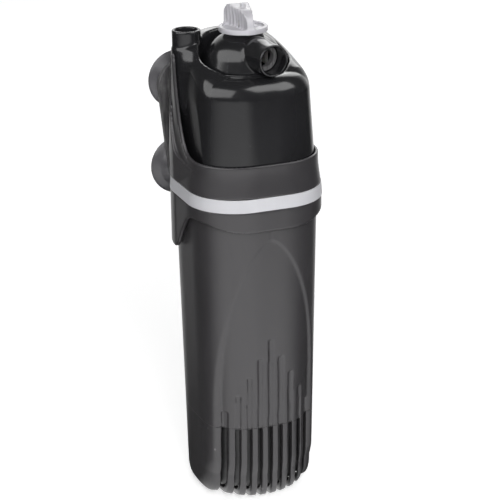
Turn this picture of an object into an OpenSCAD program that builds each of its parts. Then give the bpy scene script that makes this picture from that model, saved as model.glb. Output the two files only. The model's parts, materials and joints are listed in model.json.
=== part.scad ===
// Submersible canister filter: a motor head on a tall sponge canister,
// hung on aquarium glass by a bracket with four suction cups.
// Lengths are millimetres. X is the width, -Y faces into the tank, +Y faces
// the glass and Z is up. Each piece is drawn about the filter's own axis with
// Z = 0 under the canister, then moved so that the origin lies on the glass.

/* [Body section] */
// Distance from the axis to the centre of a corner arc, along the width
corner_x = 6.7; // [5:0.1:9]
// Distance from the axis to the centre of a corner arc, along the depth
corner_y = 7.9; // [6:0.1:10]
// Corner arc radius of the collar's outside at its widest
collar_r = 18.5; // [17.5:0.1:20]

/* [Canister] */
// Height of the canister's rim above its underside
canister_h = 118.3; // [100:0.1:140]
// Gap between the collar's skirt and the canister
skirt_gap = 0.35; // [0.25:0.05:0.6]
// Loss of corner radius from the rim down to the underside
canister_taper = 2.3; // [1:0.1:3]
// Wall thickness of the canister
canister_wall = 2.6; // [2.4:0.1:3]
// Fillet radius round the underside
canister_fillet = 4.6; // [4:0.1:6]
// Reach of the rounded front of the foot, from a point behind the axis
foot_reach = 28; // [26:0.2:30]
// Height of the rounded front of the foot
foot_round = 11.5; // [6:0.5:12]
// Height of the joint between canister shell and bottom grille
seam_z = 31.5; // [26:0.5:36]
// Distance from the rim down to the arch's point in the front panel
arch_drop = 13.3; // [12:0.1:20]
// Half width of the arched panel at its foot
arch_half_w = 19.5; // [16:0.5:20]
// Depth that the arched panel lies behind the front
panel_depth = 1.4; // [0.5:0.1:1.5]

/* [Intake slots] */
// Number of intake slots
slot_count = 9; // [5:2:9]
// Distance from slot to slot
slot_pitch = 4.0; // [3.6:0.1:4.2]
// Width of a slot
slot_w = 1.7; // [1.2:0.1:2.2]
// How far the slots run back under the canister, from the axis
slot_back = 10; // [4:1:14]
// Height of the middle slot's groove top
groove_top = 66.3; // [58:0.5:70]
// Drop of the groove top from one slot to the next
groove_step = 7.1; // [5:0.1:8]
// Depth of the grooves above the slots
groove_depth = 0.5; // [0.3:0.05:0.6]

/* [Collar] */
// Height of the collar's front lip above the canister's rim
lip_up = 15.2; // [13:0.1:18]
// Distance from the canister's rim down to the skirt's lower edge in front
skirt_drop = 9.1; // [7:0.1:11]
// Top of the collar's high back above the canister's rim
back_up = 50.7; // [44:0.1:52.7]
// Distance from the canister's rim down to the ends of the two side legs
leg_drop = 21.8; // [18:0.1:26]
// Wall thickness of the skirt
skirt_wall = 1.3; // [1:0.1:1.5]

/* [Trim ring] */
// Distance from the canister's rim down to the trim ring's lower edge
ring_drop = 1.1; // [0:0.1:3]
// Height of the trim ring
ring_h = 4.7; // [3.5:0.1:6]
// Depth that the ring is let into the collar
ring_seat = 0.6; // [0.4:0.05:0.7]

/* [Motor head] */
// Step from the collar's outside in to the head's wall
head_step = 2.55; // [2.4:0.05:2.9]
// Loss of corner radius from the lip up to the shoulder
head_taper = 1.4; // [0.8:0.1:1.8]
// Wall thickness of the head shell
head_wall = 1.8; // [1.4:0.1:2.2]
// Top of the high arched back above the canister's rim
arch_up = 57.7; // [55.7:0.1:59.7]
// Radius of the arched back's shoulders
shoulder_r = 20; // [16:0.5:21]
// Height of the lip in front of the outlet dome above the canister's rim
front_up = 44; // [42.2:0.1:45.7]
// Radius of the rounded front top edge
front_round = 5; // [3:0.5:6]
// Radius of the well that the dome stands in
well_r = 17.7; // [17:0.1:19]
// Height of the well's floor above the canister's rim
well_up = 38.7; // [37.2:0.1:39.7]

/* [Cord socket] */
// Distance from the collar's side in to the socket's centre
socket_in = 8; // [7.2:0.1:9.2]
// Socket centre along the depth
socket_y = 12; // [10:0.1:14]
// Outside radius of the socket tube
socket_r = 5.2; // [4.6:0.1:5.5]
// Height of the socket tube's rim above the canister's rim
socket_up = 57.4; // [54.7:0.1:59.7]
// Radius of the cord's passage through the gland
cord_hole_r = 2.9; // [2.2:0.1:3.1]

/* [Outlet dome] */
// Outside radius of the dome at its shoulder
dome_r = 13.5; // [13.3:0.1:14.5]
// Outside radius of the dome where its cone meets the flange
dome_foot_r = 14.7; // [14:0.1:15]
// Height of the dome's top above the well's floor
dome_h = 18.8; // [17:0.1:20]
// Shoulder radius of the dome
dome_round = 8; // [6:0.5:9]
// Wall thickness of the dome
dome_wall = 1.5; // [1.2:0.1:1.6]
// Radius of the dome's foot flange
flange_r = 15.9; // [15.5:0.1:16.2]
// Height of the nozzle's axis above the well's floor
nozzle_up = 12.4; // [10.5:0.1:12.6]
// Distance from the dome's axis to the nozzle's mouth
nozzle_reach = 21.0; // [19.5:0.1:24]
// Outside radius of the nozzle at its mouth
nozzle_r = 5.5; // [5.2:0.1:5.8]
// Outside radius of the nozzle where it leaves the dome
nozzle_root_r = 6.9; // [6:0.1:7.2]
// Wall thickness of the nozzle's mouth
nozzle_wall = 0.8; // [0.7:0.05:1]
// Heading of the nozzle, turned from straight ahead to the right
outlet_heading = 9; // [0:1:30]

/* [Flow knob] */
// Radius of the knob's disc
knob_r = 8.8; // [8:0.1:9.5]
// Thickness of the knob's disc
knob_disc_h = 1.9; // [1.5:0.1:2.4]
// Heading of the knob's pointer, turned from straight ahead to the right
knob_heading = -2; // [-30:1:30]
// Height of the grip fin above the disc
fin_h = 7.0; // [6:0.1:8]
// Width of the grip fin at its narrow front end
fin_front_w = 2.6; // [2.4:0.1:3.6]
// Width of the grip fin at its back end
fin_back_w = 7.2; // [4:0.1:8]
// Outside radius of the air inlet nipple
nipple_r = 0.9; // [0.8:0.05:1.2]
// Height of the nipple above the fin
nipple_h = 1.4; // [1:0.1:3]

/* [Pump] */
// Radius of the rotor magnet
rotor_r = 4.6; // [4.2:0.1:4.7]
// Radius of the rotor shaft
shaft_r = 1.2; // [1:0.05:1.4]
// Radius of the impeller's vanes
impeller_r = 10; // [8.5:0.5:10.5]
// Number of impeller vanes
vane_count = 6; // [4:1:8]
// Inner radius of the pump chamber
chamber_r = 13; // [12:0.5:13.5]
// Inner radius of the riser that feeds the dome
riser_r = 2.9; // [2.4:0.1:3]
// Radius of the water inlet in the impeller cover
inlet_r = 6.5; // [5.5:0.5:7.5]

/* [Sponge] */
// Gap between the sponge and the canister's wall
sponge_gap = 0.6; // [0.4:0.1:1]
// Radius of the sponge's hollow core
sponge_core_r = 7; // [5:0.5:9]

/* [Bracket] */
// Distance from the collar's back to the glass
glass_gap = 9.1; // [9:0.1:11]
// Distance of each cup from the middle, along the width
cup_x = 13.2; // [12:0.1:14]
// Distance from the canister's rim down to the lower pair of cups
cup_drop = 0.1; // [-2:0.1:2]
// Height of the upper pair of cups above the lower pair
cup_rise = 33.4; // [31:0.1:36]
// Radius of a suction cup's rim
cup_r = 11.0; // [10:0.1:11.8]
// Thickness of the bracket plate
plate_t = 2.0; // [1.8:0.1:2.2]

/* [Hidden] */
$fn = 96;

tiny = 0.01;
far = 80;
fit_gap = 0.15;
running_gap = 0.05;

// --- places that follow from the sizes above
canister_rim_r = collar_r - skirt_wall - skirt_gap;
socket_x = socket_in - corner_x - collar_r;
head_r = collar_r - head_step;
arch_top = canister_h - arch_drop;
lip_z = canister_h + lip_up;
skirt_z = canister_h - skirt_drop;
back_top_z = canister_h + back_up;
leg_z = canister_h - leg_drop;
ring_z = canister_h - ring_drop;
arch_z = canister_h + arch_up;
front_z = canister_h + front_up;
well_z = canister_h + well_up;
socket_z = canister_h + socket_up;
dome_top = well_z + dome_h;
nozzle_z = well_z + nozzle_up;
cup_low_z = canister_h - cup_drop;
cup_high_z = cup_low_z + cup_rise;
cup_mid_z = (cup_low_z + cup_high_z) / 2;
glass_y = corner_y + collar_r + glass_gap;

// --- colours
shell_black = [0.10, 0.10, 0.11];
body_grey = [0.22, 0.22, 0.235];
ring_grey = [0.84, 0.84, 0.87];
clear_grey = [0.78, 0.78, 0.80];
rubber_grey = [0.40, 0.40, 0.42];

// --- canister
canister_foot_r = canister_rim_r - canister_taper;
foot_centre_y = 3.7;
panel_blend_z = arch_top - 37;
canister_seal_t = 0.75;
canister_seal_drop = 4.5;
canister_seal_h = 2;
sponge_top = canister_h - 12.3;

// --- collar
skirt_inner_r = collar_r - skirt_wall;
lip_r = collar_r - 1.15;
collar_bore_r = head_r + fit_gap + 0.15;
wing_r = collar_r + 0.2;
wing_front_y = 9;
collar_flare = [[0, 0], [0.18, 0.05], [0.4, 0.45], [0.7, 0.95], [0.95, 1.15], [1, 1.4]];
leg_front = [[-30, skirt_z], [-26, skirt_z + 0.1], [-22.3, skirt_z + 1.6], [-19, skirt_z + 2.6],
             [-15.5, skirt_z + 3.2], [-11, skirt_z + 3.3], [-8, skirt_z + 2.7],
             [-5.1, skirt_z + 1], [0.5, leg_z + 7.4], [4.2, leg_z + 1.9], [6.9, leg_z],
             [far, leg_z]];
wing_inner = [[-far, lip_z], [-9, lip_z], [-4.8, lip_z + 0.9], [-2, lip_z + 2.5],
              [0.1, lip_z + 4.8], [3.7, lip_z + 13], [6.2, lip_z + 21.5], [7.8, lip_z + 28.5],
              [9.2, back_top_z], [far, back_top_z]];
wing_outer = [[-far, lip_z - 3.5], [-4.6, lip_z - 2.9], [2.7, lip_z - 1.7], [6.8, lip_z + 0.9],
              [9.6, lip_z + 5.8], [12.3, lip_z + 12.6], [13.2, lip_z + 19], [13.2, lip_z + 27],
              [12.6, back_top_z - 1.2], [far, back_top_z - 1.2]];

// --- head
head_base_z = canister_h + 2.7;
head_shoulder_z = canister_h + 37.7;
head_top_r = head_r - head_taper;
shoulder_x = corner_x + head_top_r - shoulder_r;
ramp_y = -14;
ramp_end_y = 17;
dome_ring_r = 11.8;
dome_ring_wall = 2.4;
dome_ring_h = 4;
seal_r = 0.7;
seal_z = well_z + 1.6;
boss_r = socket_r + 0.5;
boss_low_z = canister_h + 31.7;
socket_wall = 1.1;

// --- pump, from the cover upwards
cover_t = 2;
cover_z = canister_h - 9.3;
chamber_z = cover_z + cover_t;
chamber_wall = 2;
deck_z = canister_h + 0.2;
deck_t = head_base_z - deck_z - 0.2;
rotor_bore_r = rotor_r + 0.4;
rotor_wall = 1.1;
rotor_low_z = head_base_z;
rotor_high_z = rotor_low_z + 23.5;
rotor_cup_z = rotor_high_z + 4;
bushing_h = 2.6;
cover_hub_r = 3.6;
riser_wall = 1;
riser_y = -(rotor_bore_r + rotor_wall + 0.4 + riser_r + riser_wall);
spout_r = 6.2;
duct_wall = 1.2;
duct_low_z = rotor_cup_z + rotor_wall;
duct_high_z = well_z - head_wall - 1.1;
impeller_low_z = chamber_z + 1;
impeller_high_z = deck_z - 1.2;

// --- stator
stack_z = head_base_z + 7;
stack_h = 14;
pole_gap = 0.3;
pole_r = rotor_bore_r + rotor_wall + pole_gap;
leg_in_x = 5;
leg_out_x = 11;
yoke_y = 12.3;
yoke_t = 5;
bobbin_wall = 0.8;
winding_t = 2.8;

// --- outlet
dome_foot_z = well_z + 0.25;
flange_z = well_z + 6;
knob_z = dome_top + 0.4;
spindle_r = 1.9;
nozzle_straight = 4.2;
jet_depth = 6;
shutter_r = 8.8;
shutter_low_z = well_z + 6.5;
shutter_high_z = dome_top - 2.8;

fin_front_y = 8.2;
fin_back_y = 7.8;

// --- bracket
plate_y = glass_y - 6.9;
rail_gap = 0.2;
rail_low_z = cup_low_z - 4.2;
rail_high_z = cup_high_z + 0.4;
rail_stem_x = 4.4;
rail_head_x = 6.8;
guide_lip_y = plate_y - 1.8;
guide_lip_t = 0.8;
cup_neck_r = 2.6;
cup_stud_r = 3.6;

// Moves a piece from the filter's own axis to the frame on the glass.
module from_glass() {
    translate([0, -glass_y, -cup_mid_z]) children();
}

// A half profile doubled about the middle, with its axis moved out by c.
module doubled(c, low, high) {
    translate([c, 0]) children();
    mirror([1, 0]) translate([c, 0]) children();
    translate([-c, low]) square([2 * c, high - low]);
}

// A solid with straight sides and round corners: the half profile gives the
// corner arc's radius at each height.
module cornered(low, high) {
    for (turn = [0 : 3]) {
        side_x = (turn == 0 || turn == 3) ? 1 : -1;
        side_y = (turn < 2) ? 1 : -1;
        translate([side_x * corner_x, side_y * corner_y, 0])
            rotate([0, 0, 90 * turn])
                rotate_extrude(angle = 90) children();
    }
    rotate([90, 0, 0])
        linear_extrude(2 * corner_y, center = true) doubled(corner_x, low, high) children();
    rotate([90, 0, 90])
        linear_extrude(2 * corner_x, center = true) doubled(corner_y, low, high) children();
}

// A straight prism with round corners.
module cornered_prism(r, low, high) {
    translate([0, 0, low])
        linear_extrude(high - low) {
            square([2 * (corner_x + r), 2 * corner_y], center = true);
            square([2 * corner_x, 2 * (corner_y + r)], center = true);
            for (side_x = [-1, 1], side_y = [-1, 1])
                translate([side_x * corner_x, side_y * corner_y]) circle(r);
        }
}

// A ring with round corners between two radii.
module cornered_ring(outer, inner, low, high) {
    difference() {
        cornered_prism(outer, low, high);
        cornered_prism(inner, low - 1, high + 1);
    }
}

// Everything behind a line drawn in the side view, as a cutter.
module side_cut(points) {
    rotate([90, 0, 90])
        linear_extrude(2 * far, center = true) polygon(points);
}

// --- canister ---------------------------------------------------------------

function canister_r(z) = canister_foot_r + canister_taper * z / canister_h;

// Half profile of the canister, drawn in by a depth.
module canister_profile(inset) {
    fillet = canister_fillet - inset;
    foot = canister_r(0) - inset;
    translate([0, inset]) square([foot - fillet, fillet]);
    intersection() {
        translate([foot - fillet, inset + fillet]) circle(fillet);
        translate([0, inset]) square([foot, fillet]);
    }
    polygon([[0, canister_fillet], [foot, canister_fillet],
             [canister_r(canister_h) - inset, canister_h], [0, canister_h]]);
}

// Half profile of the front panel's face: level with the wall at the arch's
// point and deeper below.
module panel_profile() {
    fillet = canister_fillet - panel_depth;
    foot = canister_r(0) - panel_depth;
    square([foot - fillet, fillet]);
    intersection() {
        translate([foot - fillet, fillet]) circle(fillet);
        square([foot, fillet]);
    }
    polygon([[0, fillet], [foot, fillet],
             [canister_r(panel_blend_z) - panel_depth, panel_blend_z],
             [canister_r(arch_top), arch_top], [0, arch_top]]);
}

// A round body about a point behind the axis, which takes the front corners
// off the foot; drawn in by a depth.
module foot_body(inset) {
    reach = foot_reach - inset;
    round = foot_round - inset;
    translate([0, foot_centre_y, 0])
        rotate_extrude() {
            translate([0, inset]) square([reach - round, round]);
            intersection() {
                translate([reach - round, foot_round]) circle(round);
                translate([0, inset]) square([reach, round]);
            }
            polygon([[0, foot_round - tiny], [reach, foot_round - tiny], [reach + 4, foot_round + 8],
                     [reach + 4, canister_h + 5], [0, canister_h + 5]]);
        }
}

// The canister's outer form, or the form inside its wall.
module canister_form(inset) {
    intersection() {
        cornered(inset, canister_h) canister_profile(inset);
        foot_body(inset);
    }
}

// Half width of the arch at a height.
function arch_w(z) = arch_half_w * pow(max(0, 1 - pow(max(0, z - arch_foot_z) / (arch_top - arch_foot_z), 2.1)), 0.62);
arch_foot_z = 40;
arch_steps = 14;

module arch_outline() {
    heights = [for (i = [0 : arch_steps]) arch_foot_z + (arch_top - arch_foot_z) * sin(90 * i / arch_steps)];
    right = [for (z = heights) [arch_w(z), z]];
    left = [for (i = [arch_steps - 1 : -1 : 0]) [-arch_w(heights[i]), heights[i]]];
    polygon(concat([[arch_half_w, -5]], right, left, [[-arch_half_w, -5]]));
}

// The space in front of the arched panel's face.
module panel_recess() {
    difference() {
        translate([0, -3, 0])
            rotate([90, 0, 0]) linear_extrude(far) arch_outline();
        cornered(0, arch_top) panel_profile();
    }
}

slot_half = (slot_count - 1) / 2;
slot_head_z = seam_z - 3.5;

// The cuts of the slots, which stop below the grille's top hoop.
module slot_cuts() {
    for (i = [-slot_half : slot_half])
        translate([i * slot_pitch - slot_w / 2, -far, -1])
            cube([slot_w, far + slot_back, slot_head_z + 1]);
}

// The shallow grooves above the slots, stepping up to the middle.
module groove_cuts() {
    low = slot_head_z - 1;
    floor_r = canister_r(low) - panel_depth - groove_depth;
    intersection() {
        for (i = [-slot_half : slot_half])
            translate([i * slot_pitch - slot_w / 2, -far, low])
                cube([slot_w, far, groove_top - groove_step * abs(i) - low]);
        difference() {
            cornered_prism(canister_rim_r + 2, low - 1, groove_top + 1);
            cornered(low - 2, groove_top + 2)
                polygon([[0, low - 2], [floor_r - 2 * canister_taper / canister_h, low - 2],
                         [floor_r + canister_taper * (groove_top + 2 - low) / canister_h, groove_top + 2],
                         [0, groove_top + 2]]);
        }
    }
}

module canister_shell() {
    color(body_grey)
        difference() {
            canister_form(0);
            canister_form(canister_wall);
            cornered_prism(canister_rim_r - canister_wall - 0.02, canister_h - 1, canister_h + 2);
            panel_recess();
            groove_cuts();
            translate([0, 0, seam_z - far / 2]) cube([far, far, far], center = true);
        }
}

module bottom_grille() {
    color(body_grey) {
        difference() {
            canister_form(0);
            canister_form(canister_wall);
            panel_recess();
            slot_cuts();
            groove_cuts();
            translate([0, 0, seam_z - fit_gap / 3 + far]) cube([far, far, 2 * far], center = true);
        }
    }
}

module canister_seal() {
    color(rubber_grey)
        cornered_ring(canister_rim_r - canister_wall - fit_gap,
                      canister_rim_r - canister_wall - fit_gap - canister_seal_t,
                      deck_z - canister_seal_drop, deck_z - canister_seal_drop + canister_seal_h);
}

module sponge_cartridge() {
    color([0.20, 0.22, 0.26])
        difference() {
            canister_form(canister_wall + sponge_gap);
            translate([0, 0, sponge_top]) cylinder(r = far, h = far);
            translate([0, 0, -1]) cylinder(r = sponge_core_r, h = canister_h);
        }
}

// --- collar and trim ring ---------------------------------------------------

// Half profile of the collar's front: upright below the ring, drawn in above.
module collar_profile() {
    rise = lip_z - ring_z;
    slope = [for (p = collar_flare) [collar_r - p[1], ring_z + p[0] * rise]];
    polygon(concat([[0, leg_z - 1], [collar_r, leg_z - 1]], slope,
                   [[lip_r - 0.25, back_top_z + 1], [0, back_top_z + 1]]));
}

// Half profile of the collar's back: nearly upright, rounded at its top.
module wing_profile() {
    polygon([[0, leg_z - 1], [wing_r - 0.2, leg_z - 1], [wing_r - 0.2, ring_z],
             [wing_r, lip_z], [wing_r, lip_z + 9], [wing_r - 0.3, lip_z + 17],
             [wing_r - 0.8, lip_z + 25], [wing_r - 1.2, back_top_z - 4.5],
             [wing_r - 2.4, back_top_z - 1.2], [0, back_top_z - 1.2]]);
}

// Plan of the high back: its sides draw in towards the front.
module wing_plan() {
    front = corner_x + lip_r + 0.05;
    back = corner_x + wing_r + 0.1;
    linear_extrude(3 * far)
        polygon([[-front, -wing_front_y], [-back, wing_front_y], [-back, far],
                 [back, far], [back, wing_front_y], [front, -wing_front_y]]);
}

// Front view of what is taken off the high back on the right, where it
// follows the head's arch.
module wing_arch() {
    side = corner_x + wing_r;
    rotate([90, 0, 0])
        linear_extrude(2 * far, center = true)
            polygon([[side + 1, lip_z + 15.5], [side - 0.4, lip_z + 16], [side - 2, lip_z + 19.5],
                     [side - 4.4, lip_z + 23.5], [side - 7.4, lip_z + 27], [side - 11.4, lip_z + 30],
                     [side - 16.4, lip_z + 32.5], [side - 22.4, lip_z + 34], [side - 24, far * 4],
                     [side + 1, far * 4]]);
}

module collar() {
    color(body_grey)
        difference() {
            union() {
                difference() {
                    cornered(leg_z - 1, back_top_z + 1) collar_profile();
                    side_cut(concat(wing_inner, [[far, 3 * far], [-far, 3 * far]]));
                }
                difference() {
                    intersection() {
                        cornered(leg_z - 1, back_top_z - 1.2) wing_profile();
                        wing_plan();
                    }
                    side_cut(concat(wing_outer, [[far, 3 * far], [-far, 3 * far]]));
                }
                translate([-rail_stem_x, corner_y + collar_r - 1, rail_low_z])
                    cube([2 * rail_stem_x, plate_y - rail_gap - corner_y - collar_r + 1,
                          rail_high_z - rail_low_z]);
                translate([-rail_head_x, guide_lip_y + guide_lip_t + rail_gap, rail_low_z])
                    cube([2 * rail_head_x, 1.8 - guide_lip_t - 2 * rail_gap, rail_high_z - rail_low_z]);
            }
            side_cut(concat(leg_front, [[far, 0], [-30, 0]]));
            wing_arch();
            cornered_prism(collar_bore_r, head_base_z - 3, back_top_z + 5);
            cornered_prism(skirt_inner_r, 0, head_base_z - 2);
            cornered_ring(collar_r + 3, collar_r - ring_seat - fit_gap,
                          ring_z - fit_gap / 2, ring_z + ring_h + fit_gap / 2);
            translate([socket_x, socket_y, boss_low_z - 2])
                cylinder(r = boss_r + fit_gap, h = far);
        }
}

module trim_ring() {
    color(ring_grey)
        difference() {
            cornered(ring_z, ring_z + ring_h)
                polygon([[0, ring_z], [collar_r + 0.15, ring_z],
                         [collar_r - 0.2, ring_z + ring_h], [0, ring_z + ring_h]]);
            cornered_prism(collar_r - ring_seat, ring_z - 1, ring_z + ring_h + 1);
        }
}

// --- motor head -------------------------------------------------------------

function head_radius(z) = z < lip_z ? head_r : head_r - head_taper * (z - lip_z) / (head_shoulder_z - lip_z);

module head_profile(inset, top) {
    polygon([[0, head_base_z - 1], [head_r - inset, head_base_z - 1], [head_r - inset, lip_z],
             [head_radius(top) - inset, top], [0, top]]);
}

// The head's outline from the front: straight sides under an arched top.
module head_front(inset) {
    half = corner_x + head_r + 2;
    arch_mid = arch_z - shoulder_r;
    intersection() {
        union() {
            translate([-half, head_base_z - 2]) square([2 * half, arch_mid - head_base_z + 2]);
            for (side = [-1, 1])
                translate([side * shoulder_x, arch_mid]) circle(shoulder_r - inset);
            translate([-shoulder_x, arch_mid]) square([2 * shoulder_x, shoulder_r - inset]);
        }
        translate([-half, 0]) square([2 * half, 3 * far]);
    }
}

// The head's outline from the side: a low rounded front that climbs to the
// high back.
module head_side(inset) {
    front_y = -(corner_y + head_radius(front_z));
    back_y = -front_y;
    polygon([[-far, head_base_z - 2], [-far, front_z - front_round],
             [front_y + inset, front_z - front_round],
             for (a = [10 : 10 : 90])
                 [front_y + front_round - (front_round - inset) * cos(a),
                  front_z - front_round + (front_round - inset) * sin(a)],
             [ramp_y, front_z - inset], [ramp_end_y, arch_z - inset],
             [back_y - 3, arch_z - inset], [back_y - inset, arch_z - 3 - inset],
             [far, arch_z - 3 - inset], [far, head_base_z - 2]]);
}

module head_block(inset) {
    intersection() {
        cornered(head_base_z - 1, arch_z + 1) head_profile(inset, arch_z + 1);
        rotate([90, 0, 0]) linear_extrude(2 * far, center = true) head_front(inset);
        rotate([90, 0, 90]) linear_extrude(2 * far, center = true) head_side(inset);
    }
}

module motor_housing() {
    color(shell_black)
        difference() {
            union() {
                difference() {
                    union() {
                        head_block(0);
                        translate([socket_x, socket_y, boss_low_z])
                            cylinder(r = boss_r, h = socket_z - 6.5 - boss_low_z);
                    }
                    translate([0, 0, well_z]) cylinder(r = well_r, h = far);
                }
                translate([0, 0, well_z - 1]) cylinder(r = dome_ring_r, h = dome_ring_h + 1);
                difference() {
                    translate([socket_x, socket_y, boss_low_z])
                        cylinder(r = socket_r, h = socket_z - boss_low_z);
                    translate([0, 0, well_z]) cylinder(r = flange_r + 0.2, h = flange_z + 0.4 - well_z);
                }
            }
            difference() {
                head_block(head_wall);
                translate([0, 0, well_z - head_wall]) cylinder(r = well_r + head_wall, h = far);
            }
            translate([0, 0, well_z - 0.1])
                cylinder(r = dome_ring_r - dome_ring_wall, h = dome_ring_h + 1);
            translate([0, 0, seal_z]) seal_groove();
            translate([0, 0, well_z - head_wall - 1]) cylinder(r = spout_r + fit_gap, h = head_wall + 2);
            translate([socket_x, socket_y, boss_low_z + 2])
                cylinder(r = socket_r - socket_wall, h = far);
            translate([0, 0, head_base_z - far]) cube([2 * far, 2 * far, 2 * far], center = true);
        }
}

// Groove for the dome's seal, with its middle at Z = 0.
module seal_groove() {
    difference() {
        translate([0, 0, -seal_r - fit_gap]) cylinder(r = dome_ring_r + 1, h = 2 * (seal_r + fit_gap));
        translate([0, 0, -far / 2]) cylinder(r = dome_ring_r - 2 * seal_r, h = far);
    }
}

module cord_gland() {
    color(clear_grey)
        translate([socket_x, socket_y, 0])
            difference() {
                translate([0, 0, boss_low_z + 2 + fit_gap])
                    cylinder(r = socket_r - socket_wall - fit_gap / 2, h = socket_z - boss_low_z - 6.5);
                cylinder(r = cord_hole_r, h = 2 * socket_z);
            }
}

// --- pump -------------------------------------------------------------------

// Plan of the duct over the rotor cup, between riser and spout.
module duct_plan(grow) {
    half = riser_r - 0.3 + grow;
    circle(spout_r - riser_wall + 0.2 + grow);
    translate([0, riser_y]) circle(riser_r + 0.2 + grow);
    translate([-half, riser_y]) square([2 * half, -riser_y]);
}

module pump_housing() {
    plug_r = head_r - head_wall - fit_gap;
    spigot_r = canister_rim_r - canister_wall - 1;
    color([0.28, 0.29, 0.31])
        difference() {
            union() {
                cornered_prism(head_r, deck_z, deck_z + deck_t);
                cornered_ring(plug_r, plug_r - 1.6, deck_z + deck_t - tiny, head_base_z + 2.5);
                translate([0, 0, chamber_z]) cylinder(r = chamber_r + chamber_wall, h = deck_z - chamber_z + 1);
                cornered_ring(spigot_r, spigot_r - 1.6, deck_z - 6.5, deck_z + 1);
                translate([0, 0, deck_z])
                    cylinder(r = rotor_bore_r + rotor_wall, h = duct_low_z - deck_z - 0.5);
                translate([0, riser_y, deck_z]) cylinder(r = riser_r + riser_wall, h = duct_low_z - deck_z - 0.5);
                translate([0, 0, duct_low_z - riser_wall])
                    linear_extrude(duct_high_z + 2 * riser_wall - duct_low_z) duct_plan(duct_wall);
                translate([0, 0, duct_high_z + 0.5]) cylinder(r = spout_r, h = well_z - 0.6 - duct_high_z);
            }
            translate([0, 0, chamber_z - 1]) cylinder(r = chamber_r, h = deck_z - chamber_z + 1);
            translate([0, 0, chamber_z]) cylinder(r = rotor_bore_r, h = rotor_cup_z - chamber_z);
            translate([0, riser_y, chamber_z + 1]) cylinder(r = riser_r, h = duct_low_z - chamber_z);
            translate([0, 0, duct_low_z]) linear_extrude(duct_high_z - duct_low_z) duct_plan(0);
            translate([0, 0, duct_high_z - tiny]) cylinder(r = spout_r - riser_wall, h = far);
        }
}

module impeller_cover() {
    color([0.28, 0.29, 0.31])
        difference() {
            union() {
                difference() {
                    translate([0, 0, cover_z]) cylinder(r = chamber_r + chamber_wall, h = cover_t);
                    translate([0, 0, cover_z - 1]) cylinder(r = inlet_r, h = cover_t + 2);
                }
                translate([0, 0, cover_z]) cylinder(r = cover_hub_r, h = cover_t);
                for (turn = [0 : 120 : 240])
                    rotate([0, 0, turn]) translate([cover_hub_r - 1, -0.8, cover_z])
                        cube([inlet_r - cover_hub_r + 1.5, 1.6, cover_t]);
            }
            translate([0, 0, cover_z + 0.6]) cylinder(r = shaft_r + 1.1, h = cover_t);
        }
}

// A rubber bushing that holds one end of the shaft.
module bushing(outer, low, high) {
    difference() {
        translate([0, 0, low]) cylinder(r = outer, h = high - low);
        translate([0, 0, low - 1]) cylinder(r = shaft_r + tiny, h = high - low + 2);
    }
}

module lower_bushing() {
    color([0.12, 0.12, 0.13]) bushing(shaft_r + 1.05, cover_z + 0.65, cover_z + cover_t + 0.3);
}

module upper_bushing() {
    color([0.12, 0.12, 0.13])
        bushing(rotor_bore_r - running_gap, rotor_cup_z - bushing_h, rotor_cup_z - running_gap);
}

module rotor_shaft() {
    color([0.92, 0.92, 0.88])
        translate([0, 0, cover_z + 0.7]) cylinder(r = shaft_r, h = rotor_cup_z - 0.3 - cover_z - 0.7);
}

module rotor_magnet() {
    color([0.16, 0.15, 0.16])
        difference() {
            translate([0, 0, rotor_low_z]) cylinder(r = rotor_r, h = rotor_high_z - rotor_low_z);
            translate([0, 0, rotor_low_z - 1]) cylinder(r = shaft_r + running_gap, h = far);
        }
}

module impeller() {
    vane_t = 1.2;
    hub_r = 3;
    color([0.86, 0.86, 0.84])
        difference() {
            union() {
                translate([0, 0, impeller_low_z]) cylinder(r = hub_r, h = rotor_low_z - impeller_low_z);
                translate([0, 0, impeller_high_z - 1]) cylinder(r = impeller_r - 1.5, h = 1);
                for (i = [0 : vane_count - 1])
                    rotate([0, 0, 360 * i / vane_count])
                        translate([hub_r - 0.8, -vane_t / 2, impeller_low_z])
                            cube([impeller_r - hub_r + 0.8, vane_t, impeller_high_z - impeller_low_z]);
            }
            translate([0, 0, impeller_low_z - 1]) cylinder(r = shaft_r + running_gap, h = far);
        }
}

// --- motor ------------------------------------------------------------------

module stator_core() {
    back = yoke_y + yoke_t;
    color([0.55, 0.56, 0.58])
        translate([0, 0, stack_z])
            linear_extrude(stack_h)
                difference() {
                    translate([-leg_out_x, -pole_r]) square([2 * leg_out_x, back + pole_r]);
                    translate([-leg_in_x, -pole_r - 1]) square([2 * leg_in_x, yoke_y + pole_r + 1]);
                    circle(pole_r);
                }
}

// A box-shaped sleeve round the yoke, grown by a distance.
module yoke_sleeve(grow, half_x) {
    translate([-half_x, yoke_y - grow, stack_z - grow])
        cube([2 * half_x, yoke_t + 2 * grow, stack_h + 2 * grow]);
}

module coil_bobbin() {
    half_x = leg_in_x - 0.2;
    color([0.88, 0.87, 0.82])
        difference() {
            union() {
                yoke_sleeve(bobbin_wall + fit_gap, half_x);
                for (side = [-1, 1])
                    translate([side * (half_x - bobbin_wall / 2), 0, 0])
                        yoke_sleeve(bobbin_wall + winding_t, bobbin_wall / 2);
            }
            yoke_sleeve(fit_gap, half_x + 1);
        }
}

module coil_winding() {
    half_x = leg_in_x - 0.2 - bobbin_wall - 0.1;
    color([0.72, 0.42, 0.22])
        difference() {
            yoke_sleeve(bobbin_wall + winding_t - 0.2, half_x);
            yoke_sleeve(bobbin_wall + fit_gap + 0.1, half_x + 1);
        }
}

// --- outlet -----------------------------------------------------------------

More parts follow.
